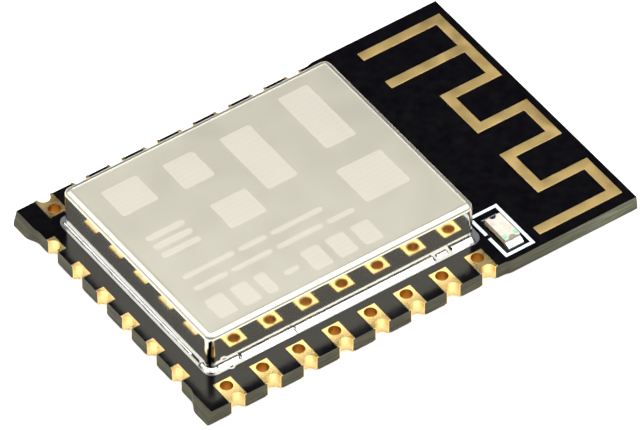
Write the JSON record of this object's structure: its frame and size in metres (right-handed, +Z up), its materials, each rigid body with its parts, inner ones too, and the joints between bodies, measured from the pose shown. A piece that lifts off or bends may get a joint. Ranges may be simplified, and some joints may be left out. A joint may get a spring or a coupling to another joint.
{
  "type": "wifi module",
  "caption": "Flat surface-mount radio module: castellated pads on three edges, folded metal shield can, meander antenna and a small indicator light.",
  "frame": {"origin": "centre of the bounding box, on the board's underside", "axes": "+X along the board towards the antenna, +Z up out of the component side, +Y across the board"},
  "size_m": [0.0242, 0.016, 0.0029],
  "materials": {
    "board_mask": "satin",
    "pad_gold": "satin",
    "antenna_gold": "matte",
    "tinned_copper": "satin",
    "shield_metal": "satin",
    "solder": "gloss",
    "led_base": "matte",
    "led_lens": "satin",
    "chip_black": "matte",
    "crystal_ceramic": "matte",
    "capacitor_ceramic": "matte",
    "resistor_ceramic": "satin",
    "coil_ceramic": "satin"
  },
  "bodies": {
    "root": {"circuit_board": "board_mask", "edge_pad_01": "pad_gold", "edge_pad_02": "pad_gold", "edge_pad_03": "pad_gold", "edge_pad_04": "pad_gold", "edge_pad_05": "pad_gold", "edge_pad_06": "pad_gold", "edge_pad_07": "pad_gold", "edge_pad_08": "pad_gold", "edge_pad_09": "pad_gold", "edge_pad_10": "pad_gold", "edge_pad_11": "pad_gold", "edge_pad_12": "pad_gold", "edge_pad_13": "pad_gold", "edge_pad_14": "pad_gold", "edge_pad_15": "pad_gold", "edge_pad_16": "pad_gold", "edge_pad_17": "pad_gold", "edge_pad_18": "pad_gold", "edge_pad_19": "pad_gold", "edge_pad_20": "pad_gold", "edge_pad_21": "pad_gold", "edge_pad_22": "pad_gold", "antenna_trace": "antenna_gold", "shield_land": "tinned_copper", "shield_can": "shield_metal", "shield_solder": "solder", "led_lands": "tinned_copper", "led_base": "led_base", "led_lens": "led_lens", "led_solder": "solder", "component_lands": "pad_gold", "radio_chip": "chip_black", "radio_chip_terminals": "tinned_copper", "memory_chip": "chip_black", "memory_chip_leads": "tinned_copper", "crystal_base": "crystal_ceramic", "crystal_lid": "shield_metal", "capacitor_1": "capacitor_ceramic", "capacitor_2": "capacitor_ceramic", "capacitor_3": "capacitor_ceramic", "capacitor_4": "capacitor_ceramic", "capacitor_5": "capacitor_ceramic", "resistor_1": "resistor_ceramic", "resistor_2": "resistor_ceramic", "resistor_3": "resistor_ceramic", "coil_1": "coil_ceramic", "coil_2": "coil_ceramic", "capacitor_ends": "tinned_copper", "resistor_ends": "tinned_copper", "coil_ends": "tinned_copper"}
  },
  "joints": []
}
